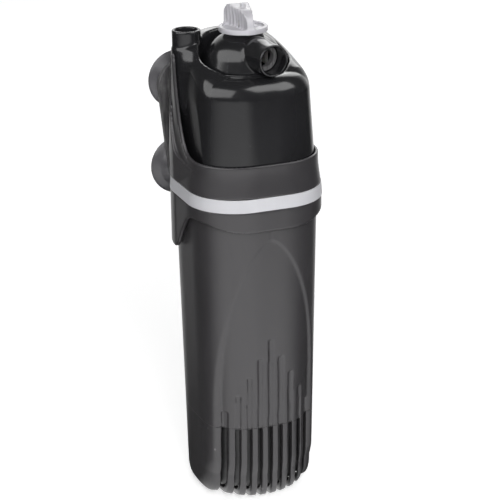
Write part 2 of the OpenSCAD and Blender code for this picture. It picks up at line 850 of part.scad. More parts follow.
// Half profile of the dome, drawn in by a depth.
module dome_profile(inset) {
    r = dome_r - inset;
    round = dome_round - inset;
    top = dome_top - inset;
    polygon([[0, dome_foot_z - 1], [dome_foot_r - inset, dome_foot_z - 1], [dome_foot_r - inset, flange_z],
             [r, top - round], [r - round, top - round], [r - round, top], [0, top]]);
    intersection() {
        translate([r - round, top - round]) circle(round);
        translate([0, dome_foot_z]) square([r, top - dome_foot_z]);
    }
}

module nozzle_shape() {
    cone_low = 11;
    cone_high = nozzle_reach - nozzle_straight;
    rotate([90, 0, 0]) {
        translate([0, 0, 6]) cylinder(r = nozzle_root_r, h = cone_low - 6 + tiny);
        translate([0, 0, cone_low]) cylinder(r1 = nozzle_root_r, r2 = nozzle_r, h = cone_high - cone_low);
        translate([0, 0, cone_high - tiny]) cylinder(r = nozzle_r, h = nozzle_straight + tiny);
    }
}

module heading() {
    rotate([0, 0, outlet_heading]) children();
}

module outlet_dome() {
    color([0.16, 0.16, 0.17])
        heading()
            difference() {
                union() {
                    intersection() {
                        rotate_extrude() dome_profile(0);
                        translate([0, 0, dome_foot_z]) cylinder(r = far, h = far);
                    }
                    translate([0, 0, dome_foot_z]) cylinder(r = flange_r, h = flange_z - 2 - dome_foot_z);
                    translate([0, 0, dome_foot_z]) cylinder(r = flange_r - 0.8, h = flange_z - dome_foot_z);
                    difference() {
                        translate([0, 0, nozzle_z]) nozzle_shape();
                        cylinder(r = dome_r - 4, h = 3 * far);
                    }
                }
                rotate_extrude()
                    intersection() {
                        dome_profile(dome_wall);
                        translate([0, dome_foot_z - 1]) square([dome_ring_r + running_gap, far]);
                    }
                translate([0, 0, dome_foot_z - 1])
                    cylinder(r = dome_ring_r + running_gap, h = dome_ring_h + 1);
                translate([0, 0, nozzle_z])
                    rotate([90, 0, 0])
                        cylinder(r = nozzle_r - nozzle_wall, h = far);
                cylinder(r = spindle_r + running_gap, h = 3 * far);
            }
}

module dome_seal() {
    color([0.10, 0.10, 0.10])
        translate([0, 0, seal_z])
            rotate_extrude() translate([dome_ring_r - seal_r + 0.02, 0]) circle(seal_r);
}

module venturi_jet() {
    outer = nozzle_r - nozzle_wall - running_gap;
    color([0.22, 0.22, 0.23])
        heading()
            translate([0, -(nozzle_reach - jet_depth), nozzle_z])
                rotate([-90, 0, 0])
                    difference() {
                        cylinder(r = outer, h = 2.4);
                        translate([0, 0, -1]) cylinder(r = outer - 1.4, h = 5);
                    }
}

module flow_knob() {
    color(clear_grey)
        rotate([0, 0, knob_heading])
            translate([0, 0, knob_z])
                difference() {
                    union() {
                        cylinder(r = knob_r, h = knob_disc_h);
                        intersection() {
                            translate([0, 0, knob_disc_h - tiny])
                                linear_extrude(far)
                                    polygon([[-fin_front_w / 2, -far], [-fin_front_w / 2, -fin_front_y],
                                             [-fin_back_w / 2, fin_back_y], [-fin_back_w / 2, far],
                                             [fin_back_w / 2, far], [fin_back_w / 2, fin_back_y],
                                             [fin_front_w / 2, -fin_front_y], [fin_front_w / 2, -far]]);
                            rotate([90, 0, 90])
                                linear_extrude(far, center = true) fin_outline();
                        }
                        translate([0, 0, knob_disc_h])
                            cylinder(r = nipple_r, h = fin_h - 0.5 + nipple_h);
                    }
                    translate([0, 0, -1]) cylinder(r = spindle_r + running_gap, h = knob_disc_h + 3);
                    cylinder(r = nipple_r - 0.4, h = far);
                }
}

// Side outline of the grip fin: a hump at its back and a slope to its front.
module fin_outline() {
    foot = knob_disc_h;
    hump = 3;
    translate([fin_back_y - hump, foot + fin_h - hump]) circle(hump);
    polygon([[-fin_front_y, 0], [-fin_front_y, foot + fin_h - 4.3], [-6.8, foot + fin_h - 3.2],
             [-5.3, foot + fin_h - 1.7], [-3.8, foot + fin_h - 0.9], [-1.5, foot + fin_h - 0.6],
             [1, foot + fin_h - 0.7], [3.2, foot + fin_h - 0.4], [fin_back_y - hump, foot + fin_h - 0.5],
             [fin_back_y, foot + fin_h - hump], [fin_back_y, 0]]);
}

module valve_spindle() {
    color([0.80, 0.80, 0.82])
        difference() {
            translate([0, 0, shutter_high_z + 0.1])
                cylinder(r = spindle_r, h = knob_z + knob_disc_h + 1.8 - shutter_high_z);
            translate([0, 0, shutter_high_z - 1]) cylinder(r = nipple_r - 0.4, h = far);
        }
}

module flow_shutter() {
    span = 46;
    color([0.80, 0.80, 0.82])
        heading()
            difference() {
                union() {
                    translate([0, 0, shutter_high_z - 1.2]) cylinder(r = 3.2, h = 1.2);
                    intersection() {
                        rotate([0, 0, -span / 2])
                            rotate_extrude(angle = span) {
                                translate([shutter_r - 1, shutter_low_z])
                                    square([1, shutter_high_z - shutter_low_z]);
                                translate([1, shutter_high_z - 1.2]) square([shutter_r - 1.5, 1.2]);
                            }
                        cylinder(r = far, h = 3 * far);
                    }
                }
                translate([0, 0, shutter_low_z]) cylinder(r = nipple_r - 0.4, h = far);
            }
}

// --- bracket ----------------------------------------------------------------

// Outline of the bracket plate from the front: a broad lobe at each cup, the
// lower ones narrower.
module plate_outline() {
    upper = cup_x - 0.6;
    lower = cup_x - 1.4;
    for (side = [-1, 1]) {
        translate([side * upper, cup_high_z - 1]) circle(10);
        translate([side * lower, cup_low_z + 2]) circle(7.6);
    }
    polygon([[-lower, cup_low_z - 5.6], [lower, cup_low_z - 5.6], [lower + 7.6, cup_low_z + 2],
             [upper + 10, cup_high_z - 1], [upper, cup_high_z + 9], [-upper, cup_high_z + 9],
             [-upper - 10, cup_high_z - 1], [-lower - 7.6, cup_low_z + 2]]);
}

// The T slot on the plate's front: two hooked strips and a ledge under them.
module plate_guides() {
    strip_x = rail_head_x + rail_gap;
    for (side = [-1, 1])
        mirror([side < 0 ? 1 : 0, 0, 0]) {
            translate([strip_x, guide_lip_y, rail_low_z - 2])
                cube([1.8, plate_y - guide_lip_y + tiny, rail_high_z - rail_low_z + 2]);
            translate([rail_stem_x + rail_gap, guide_lip_y, rail_low_z - 2])
                cube([strip_x - rail_stem_x, guide_lip_t, rail_high_z - rail_low_z + 2]);
        }
    translate([-strip_x, guide_lip_y, rail_low_z - 2])
        cube([2 * strip_x, plate_y - guide_lip_y + tiny, 2 - running_gap]);
}

module bracket_plate() {
    color([0.14, 0.14, 0.15])
        union() {
            difference() {
                translate([0, plate_y + plate_t, 0])
                    rotate([90, 0, 0]) linear_extrude(plate_t) plate_outline();
                for (side = [-1, 1], z = [cup_low_z, cup_high_z])
                    translate([side * cup_x, plate_y - 1, z])
                        rotate([-90, 0, 0]) cylinder(r = cup_neck_r + 0.1, h = plate_t + 2);
            }
            plate_guides();
        }
}

// One suction cup with its stud through the bracket plate.
module suction_cup(side, z) {
    depth = glass_y - plate_y - plate_t;
    color(rubber_grey)
        translate([side * cup_x, glass_y, z])
            rotate([90, 0, 0])
                rotate_extrude()
                    polygon([[0, 0.2 * cup_r], [0.27 * cup_r, 0.17 * cup_r], [0.8 * cup_r, 0.03 * cup_r],
                             [cup_r, 0], [1.014 * cup_r, 0.03 * cup_r], [0.945 * cup_r, 0.09 * cup_r],
                             [0.73 * cup_r, 0.22 * cup_r], [0.58 * cup_r, depth - 0.08 * cup_r],
                             [0.49 * cup_r, depth - 0.1],
                             [cup_neck_r, depth - 0.1], [cup_neck_r, depth + plate_t + 0.1],
                             [cup_stud_r - 0.4, depth + plate_t + 0.1], [cup_stud_r - 0.6, depth + plate_t + 0.6],
                             [0, depth + plate_t + 0.6]]);
}

from_glass() bracket_plate();
from_glass() suction_cup(-1, cup_high_z);  // suction_cup_upper_left
from_glass() suction_cup(1, cup_high_z);  // suction_cup_upper_right
from_glass() suction_cup(-1, cup_low_z);  // suction_cup_lower_left
from_glass() suction_cup(1, cup_low_z);  // suction_cup_lower_right
from_glass() motor_housing();
from_glass() collar();
from_glass() trim_ring();
from_glass() cord_gland();
from_glass() pump_housing();
from_glass() impeller_cover();
from_glass() lower_bushing();
from_glass() upper_bushing();
from_glass() rotor_shaft();
from_glass() rotor_magnet();
from_glass() impeller();
from_glass() stator_core();
from_glass() coil_bobbin();
from_glass() coil_winding();
from_glass() outlet_dome();
from_glass() dome_seal();
from_glass() venturi_jet();
from_glass() flow_knob();
from_glass() valve_spindle();
from_glass() flow_shutter();
from_glass() canister_shell();
from_glass() bottom_grille();
from_glass() canister_seal();
from_glass() sponge_cartridge();
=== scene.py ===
# Looks for the submersible canister filter: camera, studio, finishes and the finer pieces.
import json
import math

import bmesh
import bpy
import numpy as np
from mathutils import Matrix, Vector, noise


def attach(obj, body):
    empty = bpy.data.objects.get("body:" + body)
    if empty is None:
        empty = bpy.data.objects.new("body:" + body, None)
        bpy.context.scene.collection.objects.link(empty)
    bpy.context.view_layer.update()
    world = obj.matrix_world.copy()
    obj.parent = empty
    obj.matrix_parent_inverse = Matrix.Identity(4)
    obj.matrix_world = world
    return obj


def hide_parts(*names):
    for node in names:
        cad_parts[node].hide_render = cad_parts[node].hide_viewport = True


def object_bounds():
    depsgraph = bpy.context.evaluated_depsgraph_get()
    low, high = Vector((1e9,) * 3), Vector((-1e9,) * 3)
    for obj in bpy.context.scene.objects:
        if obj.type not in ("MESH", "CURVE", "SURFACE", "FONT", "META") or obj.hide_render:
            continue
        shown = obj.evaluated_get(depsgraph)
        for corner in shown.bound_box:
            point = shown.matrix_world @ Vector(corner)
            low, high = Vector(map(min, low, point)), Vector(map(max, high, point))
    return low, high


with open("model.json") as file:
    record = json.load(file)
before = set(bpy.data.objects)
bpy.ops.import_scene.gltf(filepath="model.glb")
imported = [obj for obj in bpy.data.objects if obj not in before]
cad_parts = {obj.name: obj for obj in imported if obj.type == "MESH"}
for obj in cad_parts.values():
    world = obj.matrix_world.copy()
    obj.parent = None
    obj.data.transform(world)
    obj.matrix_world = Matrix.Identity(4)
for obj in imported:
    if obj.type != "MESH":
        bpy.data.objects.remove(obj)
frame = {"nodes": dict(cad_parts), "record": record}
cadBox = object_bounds()
nodes = frame["nodes"]
print("frame loaded with", len(nodes), "nodes")

filterAxis = {"y": -0.0355, "foot": -0.1349}  # where the filter's own axis and underside are


# ---- camera
cameraView = {
    "place": (-0.23120, -0.62736, 0.19102),
    "azimuth": -21.458,
    "elevation": 20.102,
    "roll": -0.780,
    "lens": 131.86,
}


def placeCamera(view):
    azimuth, elevation, roll = (math.radians(view[key]) for key in ("azimuth", "elevation", "roll"))
    back = Vector((math.sin(azimuth) * math.cos(elevation),
                   -math.cos(azimuth) * math.cos(elevation), math.sin(elevation)))
    right = Vector((math.cos(azimuth), math.sin(azimuth), 0))
    up = back.cross(right)
    across = right * math.cos(roll) + up * math.sin(roll)
    upright = up * math.cos(roll) - right * math.sin(roll)
    camera = bpy.data.objects.new("camera", bpy.data.cameras.new("camera"))
    bpy.context.scene.collection.objects.link(camera)
    turn = Matrix((across, upright, back)).transposed().to_4x4()
    camera.matrix_world = Matrix.Translation(view["place"]) @ turn
    camera.data.sensor_width = 36
    camera.data.lens = view["lens"]
    camera.data.clip_start = 0.01
    bpy.context.scene.camera = camera


placeCamera(cameraView)
print("camera placed")


# ---- shader wiring
class Wire:
    tree = None  # the node tree being wired

    def __init__(self, socket):
        self.socket = socket

    @classmethod
    def node(cls, kind, settings=None, sockets=None, output=0):
        made = cls.tree.nodes.new("ShaderNode" + kind)
        for key, value in (settings or {}).items():
            setattr(made, key, value)
        for key, value in (sockets or {}).items():
            if isinstance(value, Wire):
                cls.tree.links.new(value.socket, made.inputs[key])
            else:
                made.inputs[key].default_value = value
        return cls(made.outputs[output] if made.outputs else None)

    def math(self, operation, first, second):
        return Wire.node("Math", {"operation": operation}, {0: first, 1: second})

    def __add__(self, other):
        return self.math("ADD", self, other)

    def __sub__(self, other):
        return self.math("SUBTRACT", self, other)

    def __rsub__(self, other):
        return self.math("SUBTRACT", other, self)

    def __mul__(self, other):
        return self.math("MULTIPLY", self, other)

    __radd__ = __add__
    __rmul__ = __mul__


def mixColours(factor, first, second):
    colours = {6: first, 7: second}  # the Mix node's two colour sockets
    for key, value in colours.items():
        if not isinstance(value, Wire):
            colours[key] = (*value, 1)
    return Wire.node("Mix", {"data_type": "RGBA"}, {0: factor, **colours}, output=2)


def clampedRise(value, low, high):
    return Wire.node("MapRange", {"interpolation_type": "SMOOTHSTEP"},
                     {"Value": value, "From Min": low, "From Max": high, "To Min": 0, "To Max": 1})


def grain(place, scale, detail, rough=0.5):
    return Wire.node("TexNoise", None,
                     {"Vector": place, "Scale": scale, "Detail": detail, "Roughness": rough})


def stretched(place, x, y, z):
    return Wire.node("VectorMath", {"operation": "MULTIPLY"}, {0: place, 1: (x, y, z)})


def openMaterial(name):
    material = bpy.data.materials.new(name)
    material.use_nodes = True
    Wire.tree = material.node_tree
    Wire.tree.nodes.clear()
    return material


def closeMaterial(sockets):
    surface = Wire.node("BsdfPrincipled", None, sockets)
    Wire.node("OutputMaterial", None, {"Surface": surface})


def dress(piece, material):
    piece.data.materials.clear()
    piece.data.materials.append(material)


# ---- studio
studio = {
    "skyLight": 0.20,           # what the room gives to plain surfaces
    "glossFront": 0.10,         # how bright gloss finds the room in front of the object
    "glossBehind": 1.25,        # and the wall behind it
    "floorHalf": 4,             # metres from the floor's middle to its edge
    "floorDrop": 0.0003,        # the floor lies this far under the filter
    "floorColour": 0.80,
    "floorLift": 0.60,          # what the camera sees on top of the floor's own light
    "glossFloor": 0.10,         # the floor's colour in reflections, apart from the pool of light
    "poolLight": 1.85,          # a pool of light that gloss finds on the ground in front
    "poolHeading": -18,         # its middle, in degrees from straight ahead of the filter
    "poolEdge": (0.0, 0.95),    # cosines of the angle from its middle, from dark to full
    "poolReach": (0.10, 1.0),   # metres over which it fades, by the share below
    "poolFade": 0.60,
    "poolSide": (0.06, 0.30),   # metres to the right over which it ends
    "backHeading": 158,         # the bright ground and wall behind the filter
    "backEdge": (0.62, 0.97),
    "wallEdge": (0.55, 0.92),
}


def headingWay(degrees):
    return (math.sin(math.radians(degrees)), -math.cos(math.radians(degrees)), 0)


def makeSky(look):
    world = bpy.data.worlds.new("studioRoom")
    bpy.context.scene.world = world
    world.use_nodes = True
    Wire.tree = world.node_tree
    Wire.tree.nodes.clear()
    direction = Wire.node("TexCoord", output="Generated")
    beyond = Wire.node("VectorMath", {"operation": "DOT_PRODUCT"},
                       {0: direction, 1: headingWay(look["backHeading"])}, output="Value")
    behind = clampedRise(beyond, *look["wallEdge"])
    glossLight = behind * (look["glossBehind"] - look["glossFront"]) + look["glossFront"]
    seen = Wire.node("LightPath", output="Is Camera Ray")
    gloss = Wire.node("LightPath", output="Is Glossy Ray")
    clear = Wire.node("LightPath", output="Is Transmission Ray")
    plain = mixColours(gloss, (look["skyLight"],) * 3, (1, 1, 1))
    strength = Wire.node("Mix", {"data_type": "FLOAT"}, {0: gloss, 2: 1.0, 3: glossLight})
    white = Wire.node("Background", None, {"Color": (1, 1, 1, 1), "Strength": 1.0})
    room = Wire.node("Background", None, {"Color": plain, "Strength": strength})
    shown = Wire.node("Math", {"operation": "MAXIMUM"}, {0: seen, 1: clear})
    both = Wire.node("MixShader", None, {0: shown, 1: room, 2: white})
    Wire.node("OutputWorld", None, {"Surface": both})


def makeFloor(look):
    mesh = bpy.data.meshes.new("floor")
    half = look["floorHalf"]
    low = cadBox[0][2] - look["floorDrop"]
    corners = [(x * half, y * half, low) for x, y in ((-1, -1), (1, -1), (1, 1), (-1, 1))]
    mesh.from_pydata(corners, [], [(0, 1, 2, 3)])
    floor = bpy.data.objects.new("floor", mesh)
    bpy.context.scene.collection.objects.link(floor)
    material = openMaterial("floorPaper")
    place = Wire.node("TexCoord", output="Object")
    offset = Wire.node("VectorMath", {"operation": "SUBTRACT"}, {0: place, 1: (0, filterAxis["y"], low)})
    away = Wire.node("VectorMath", {"operation": "LENGTH"}, {0: offset}, output="Value")
    toward = Wire.node("VectorMath", {"operation": "NORMALIZE"}, {0: offset})
    ahead, beyond = (Wire.node("VectorMath", {"operation": "DOT_PRODUCT"},
                               {0: toward, 1: headingWay(look[key])}, output="Value")
                     for key in ("poolHeading", "backHeading"))
    across = Wire.node("SeparateXYZ", None, {0: place}, output="X")
    nearby = 1 - clampedRise(away, *look["poolReach"]) * look["poolFade"]
    pool = clampedRise(ahead, *look["poolEdge"]) * nearby
    pool = pool * (1 - clampedRise(across, *look["poolSide"]))
    bright = Wire.node("Math", {"operation": "MAXIMUM"},
                       {0: pool * look["poolLight"], 1: clampedRise(beyond, *look["backEdge"])})
    seen = Wire.node("LightPath", output="Is Camera Ray")
    gloss = Wire.node("LightPath", output="Is Glossy Ray")
    colour = mixColours(gloss, (look["floorColour"],) * 3, (look["glossFloor"],) * 3)
    paper = Wire.node("BsdfDiffuse", None, {"Color": colour, "Roughness": 0.0})
    lift = Wire.node("Emission", None,
                     {"Color": (1, 1, 1, 1), "Strength": seen * look["floorLift"] + gloss * bright})
    both = Wire.node("AddShader", None, {0: paper, 1: lift})
    Wire.node("OutputMaterial", None, {"Surface": both})
    dress(floor, material)


# azimuth in degrees to the right of straight ahead, elevation above the level; light is a panel's
# brightness, whatever its size; the panels light gloss alone and the key lights plain surfaces alone
softboxes = {
    "leftPanel": {"azimuth": -73, "elevation": 38, "away": 1.0, "size": (1.55, 0.78), "light": 2.9,
                  "roll": 16, "plain": False},
    "rightPanel": {"azimuth": 46, "elevation": 46, "away": 1.0, "size": (0.62, 0.62), "light": 3.9,
                   "plain": False},
    "key": {"azimuth": -14, "elevation": 28, "away": 1.1, "size": (0.6, 0.6), "light": 9.0, "gloss": False},
    "back": {"azimuth": 150, "elevation": 32, "away": 1.0, "size": (0.7, 0.5), "light": 2.2},
}


def makeSoftbox(name, look):
    lamp = bpy.data.lights.new(name, "AREA")
    lamp.shape = "RECTANGLE"
    lamp.size, lamp.size_y = look["size"]
    lamp.energy = look["light"] * math.pi * lamp.size * lamp.size_y
    box = bpy.data.objects.new(name, lamp)
    bpy.context.scene.collection.objects.link(box)
    azimuth, elevation = math.radians(look["azimuth"]), math.radians(look["elevation"])
    way = Vector((math.sin(azimuth) * math.cos(elevation),
                  -math.cos(azimuth) * math.cos(elevation), math.sin(elevation)))
    box.location = Vector((0, filterAxis["y"], 0)) + way * look["away"]
    tilt = Matrix.Rotation(math.radians(look.get("roll", 0)), 3, "Z")
    box.rotation_euler = ((-way).to_track_quat("-Z", "Y").to_matrix() @ tilt).to_euler()
    box.visible_camera = False
    box.visible_diffuse = look.get("plain", True)
    box.visible_glossy = look.get("gloss", True)


makeSky(studio)
makeFloor(studio)
for boxName, boxLook in softboxes.items():
    makeSoftbox(boxName + "Softbox", boxLook)
scene = bpy.context.scene
scene.view_settings.view_transform = "Standard"
print("studio lit")


# ---- finishes
# the lighter edges set here are painted highlight along rims and ridges, partly also wear; the rubs also
# roughen and raise the surface
rubsAndEdgeHighlight = {
    "bevelEdge": (0.02, 0.35),   # how far the rounded normal has turned, from no painted edge highlight and wear to full
    "ridgeEdge": (0.56, 0.66),   # pointiness of a ridge, from no painted edge highlight and wear to full
    "patchEdge": (0.40, 0.60),   # noise that breaks the painted edge highlight and wear up
    "patchShare": 0.6,           # the part of the painted edge highlight and wear that comes in patches
    "stretch": 0.12,             # the rubs run up and down
    "fineness": 0.35,            # their grain against the plastic's own
    "dulledBy": (0.50, 0.75),    # noise of the rubs that changes the roughness
    "relief": 0.12,              # their height against the fine grain's
}


def mouldedPlastic(name, look):
    material = openMaterial(name)
    place = Wire.node("TexCoord", output="Object")
    facing = Wire.node("NewGeometry", output="Normal")
    rounded = Wire.node("Bevel", {"samples": 6}, {"Radius": look["edgeRadius"]})
    turned = Wire.node("VectorMath", {"operation": "DOT_PRODUCT"}, {0: rounded, 1: facing}, output="Value")
    ridge = Wire.node("NewGeometry", output="Pointiness")
    edge = Wire.node("Math", {"operation": "MAXIMUM"},
                     {0: clampedRise(1 - turned, *rubsAndEdgeHighlight["bevelEdge"]),
                      1: clampedRise(ridge, *rubsAndEdgeHighlight["ridgeEdge"])})
    broad = grain(place, look["cloudScale"], 2)
    fine = grain(place, look["grainScale"], 2, 0.6)
    drawnOut = stretched(place, 1, 1, rubsAndEdgeHighlight["stretch"])
    rubs = grain(drawnOut, look["grainScale"] * rubsAndEdgeHighlight["fineness"], 4, 0.65)
    patches = clampedRise(rubs, *rubsAndEdgeHighlight["patchEdge"]) * rubsAndEdgeHighlight["patchShare"] + (1 - rubsAndEdgeHighlight["patchShare"])
    colour = mixColours(broad, look["dark"], look["light"])
    # edges are mixed lighter: painted highlight along rounded rims and ridges, partly also wear, broken
    # into patches
    colour = mixColours(edge * patches * look["edgeWearAndHighlight"], colour, look["edgeWearAndHighlightColour"])
    rough = look["rough"] + (broad - 0.5) * look["roughSpread"]
    rough = rough + clampedRise(rubs, *rubsAndEdgeHighlight["dulledBy"]) * look["rubRough"]
    lifted = Wire.node("Bump", None, {"Strength": look["bump"], "Distance": look["bumpDepth"],
                                      "Height": fine + rubs * rubsAndEdgeHighlight["relief"], "Normal": rounded})
    closeMaterial({"Base Color": colour, "Roughness": rough, "Normal": lifted, "IOR": 1.5,
                   "Transmission Weight": look.get("clear", 0.0)})
    return material


# each finish's edge colour and its strength make the painted highlight along edges, partly also wear
headGloss = {"dark": (0.012, 0.012, 0.013), "light": (0.018, 0.018, 0.020),
             "edgeWearAndHighlightColour": (0.06, 0.06, 0.065), "edgeRadius": 0.0003, "cloudScale": 55,
             "grainScale": 1400, "edgeWearAndHighlight": 0.35, "rough": 0.16,
             "roughSpread": 0.06, "rubRough": 0.05, "bump": 0.12, "bumpDepth": 0.00004}
bodySatin = {"dark": (0.038, 0.036, 0.039), "light": (0.047, 0.045, 0.048),
             "edgeWearAndHighlightColour": (0.24, 0.235, 0.24), "edgeRadius": 0.0003, "cloudScale": 45,
             "grainScale": 2600, "edgeWearAndHighlight": 0.75, "rough": 0.32,
             "roughSpread": 0.08, "rubRough": 0.06, "bump": 0.22, "bumpDepth": 0.00005}
ringPale = {"dark": (0.57, 0.57, 0.60), "light": (0.66, 0.66, 0.69), "edgeWearAndHighlightColour": (0.78, 0.78, 0.80),
            "edgeRadius": 0.0003, "cloudScale": 60, "grainScale": 2200, "edgeWearAndHighlight": 0.3, "rough": 0.42,
            "roughSpread": 0.08, "rubRough": 0.05, "bump": 0.15, "bumpDepth": 0.00004}
knobMilk = {"dark": (0.62, 0.61, 0.65), "light": (0.72, 0.71, 0.75), "edgeWearAndHighlightColour": (0.85, 0.85, 0.88),
            "edgeRadius": 0.0003, "cloudScale": 260, "grainScale": 1200, "edgeWearAndHighlight": 0.3, "rough": 0.22,
            "roughSpread": 0.08, "rubRough": 0.05, "bump": 0.2, "bumpDepth": 0.00005, "clear": 0.16}
plateBlack = dict(bodySatin, edgeRadius=0.0006, dark=(0.020, 0.020, 0.021), light=(0.028, 0.028, 0.030),
                  rough=0.40, rubRough=0.01)
cupSoft = {"dark": (0.075, 0.073, 0.080), "light": (0.10, 0.098, 0.106), "edgeWearAndHighlightColour": (0.2, 0.2, 0.21),
           "edgeRadius": 0.0004, "cloudScale": 90, "grainScale": 1800, "edgeWearAndHighlight": 0.2, "rough": 0.30,
           "roughSpread": 0.12, "rubRough": 0.10, "bump": 0.12, "bumpDepth": 0.00004}
innerGrey = dict(bodySatin, dark=(0.018, 0.018, 0.020), light=(0.028, 0.028, 0.030), rough=0.36)
whiteParts = dict(ringPale, dark=(0.66, 0.65, 0.61), light=(0.74, 0.73, 0.69), rough=0.45)
sealBlack = dict(cupSoft, dark=(0.010, 0.010, 0.010), light=(0.018, 0.018, 0.019), rough=0.55)
magnetGrey = dict(bodySatin, dark=(0.030, 0.027, 0.030), light=(0.05, 0.046, 0.05), rough=0.5)
laminations = dict(bodySatin, dark=(0.22, 0.22, 0.23), light=(0.30, 0.30, 0.31), rough=0.42)
copperWire = dict(bodySatin, dark=(0.40, 0.15, 0.06), light=(0.52, 0.22, 0.10), rough=0.3)

finishes = {
    "head_plastic": mouldedPlastic("glossyHeadShell", headGloss),
    "body_plastic": mouldedPlastic("satinBody", bodySatin),
    "ring_plastic": mouldedPlastic("paleTrimRing", ringPale),
    "clear_plastic": mouldedPlastic("milkyKnob", knobMilk),
    "bracket_plastic": mouldedPlastic("bracketBlack", plateBlack),
    "cup_rubber": mouldedPlastic("suctionRubber", cupSoft),
    "seal_rubber": mouldedPlastic("sealRubber", sealBlack),
    "inner_plastic": mouldedPlastic("pumpGrey", innerGrey),
    "white_plastic": mouldedPlastic("ivoryPlastic", whiteParts),
    "shaft_steel": mouldedPlastic("shaftSteel", laminations),
    "magnet": mouldedPlastic("rotorFerrite", magnetGrey),
    "core_steel": mouldedPlastic("stackedSteel", laminations),
    "winding": mouldedPlastic("enamelledCopper", copperWire),
    "sponge": mouldedPlastic("foam", sealBlack),
}
for part in frame["record"]["subparts"]:
    dress(nodes[part["node"]], finishes[part["material_slot"]])
print("finishes made")


# ---- carving: a piece is a field over space, negative inside, in millimetres about the filter's own axis
def roundBoth(first, second, radius):
    # where both hold, with a rounded edge between them
    reach = np.hypot(np.maximum(first + radius, 0), np.maximum(second + radius, 0))
    return np.minimum(np.maximum(first, second), -radius) + reach


def roundEither(first, second, radius):
    return -roundBoth(-first, -second, radius)


def less(first, second, radius=0.0):
    return roundBoth(first, -second, radius)


def easeIn(value, low, high):
    step = np.clip((value - low) / (high - low), 0, 1)
    return step * step * (3 - 2 * step)


def smoothLine(points, steps=3):
    # a curve through the points that passes each one parallel to the line between its neighbours
    ends = [points[0], *points, points[-1]]
    line = []
    for corners in zip(ends, ends[1:], ends[2:], ends[3:]):
        for t in np.arange(steps) / steps:
            line.append([b + (c - a) * t / 2 + (a - 2.5 * b + 2 * c - d / 2) * t ** 2
                         + (1.5 * b - a / 2 - 1.5 * c + d / 2) * t ** 3 for a, b, c, d in zip(*corners)])
    return [*line, points[-1]]


def besideLine(u, v, line):
    # how far a point lies to the left of a line that is drawn in one plane
    nearest = np.full(np.shape(u), 1e9)
    side = np.ones(np.shape(u))
    for (startU, startV), (endU, endV) in zip(line, line[1:]):
        alongU, alongV = endU - startU, endV - startV
        fromU, fromV = u - startU, v - startV
        share = np.clip((fromU * alongU + fromV * alongV) / (alongU ** 2 + alongV ** 2), 0, 1)
        gap = (fromU - share * alongU) ** 2 + (fromV - share * alongV) ** 2
        closer = gap < nearest
        nearest = np.where(closer, gap, nearest)
        side = np.where(closer, alongU * fromV - alongV * fromU, side)
    return np.sign(side) * np.sqrt(nearest)


def netSurface(field, low, high, cell):
    # one point in every cell that the surface crosses, one face for every grid edge that it cuts
    axes = [np.arange(a, b + cell, cell) for a, b in zip(low, high)]
    values = field(*np.meshgrid(*axes, indexing="ij"))
    shape = [n - 1 for n in values.shape]
    total = np.zeros((*shape, 3))
    count = np.zeros(shape)
    for axis in range(3):
        for one in (0, 1):
            for other in (0, 1):
                corner = [one, other]
                corner.insert(axis, 0)
                far = list(corner)
                far[axis] = 1
                near, beyond = (values[tuple(slice(c, c + n) for c, n in zip(spot, shape))]
                                for spot in (corner, far))
                cut = (near < 0) != (beyond < 0)
                way = np.where(cut, near / np.where(cut, near - beyond, 1), 0)
                for part in range(3):
                    total[..., part] += cut * (way if part == axis else corner[part])
                count += cut
    used = count > 0
    number = np.full(shape, -1)
    number[used] = np.arange(used.sum())
    points = (np.argwhere(used) + total[used] / count[used][:, None]) * cell + np.array(low)
    faces = []
    for axis in range(3):
        inside = np.moveaxis(values < 0, [axis, (axis + 1) % 3, (axis + 2) % 3], [0, 1, 2])
        cells = np.moveaxis(number, [axis, (axis + 1) % 3, (axis + 2) % 3], [0, 1, 2])
        a, b = inside[:-1, 1:-1, 1:-1], inside[1:, 1:-1, 1:-1]
        ring = np.stack([cells[:, :-1, :-1], cells[:, 1:, :-1], cells[:, 1:, 1:], cells[:, :-1, 1:]], -1)
        faces += [ring[a & ~b], ring[~a & b][:, ::-1]]
    return points, np.concatenate(faces)


settling = {"rounds": 4, "probe": 0.02, "leastSlope": 0.2}


def settle(field, points, reach):
    # moves the points onto the surface itself
    probe = settling["probe"]
    for turn in range(settling["rounds"]):
        value = field(*points.T)
        slope = np.stack([(field(*(points + shift).T) - field(*(points - shift).T)) / (2 * probe)
                          for shift in np.eye(3) * probe], 1)
        step = np.clip(value / np.maximum((slope ** 2).sum(1), settling["leastSlope"]), -reach, reach)
        points = points - step[:, None] * slope
    return points


seamCut = {"high": 0.00008, "deep": 0.0001, "near": 1e-6}  # the V's height and depth, in metres


def partAt(mesh, height, keepAbove):
    # cuts the piece off level at a seam, draws its edge in to a fine V and closes the cut
    facing = (0, 0, -1 if keepAbove else 1)
    level = height / 1000 + filterAxis["foot"]
    body = bmesh.new()
    body.from_mesh(mesh)
    for lift, clear in ((seamCut["high"], False), (0, True)):
        everything = [*body.verts, *body.edges, *body.faces]
        cut = bmesh.ops.bisect_plane(body, geom=everything, dist=1e-7, plane_no=facing, clear_outer=clear,
                                     plane_co=(0, 0, level - facing[2] * lift))["geom_cut"]
    body.normal_update()
    for vertex in body.verts:
        if abs(vertex.co.z - level) < seamCut["near"]:
            vertex.co -= Vector((vertex.normal.x, vertex.normal.y, 0)) * seamCut["deep"]
    rim = [item for item in cut if isinstance(item, bmesh.types.BMEdge) and item.is_boundary]
    for edge in rim:
        edge.smooth = False
    bmesh.ops.triangle_fill(body, edges=rim, use_beauty=True, normal=facing)
    body.to_mesh(mesh)
    body.free()


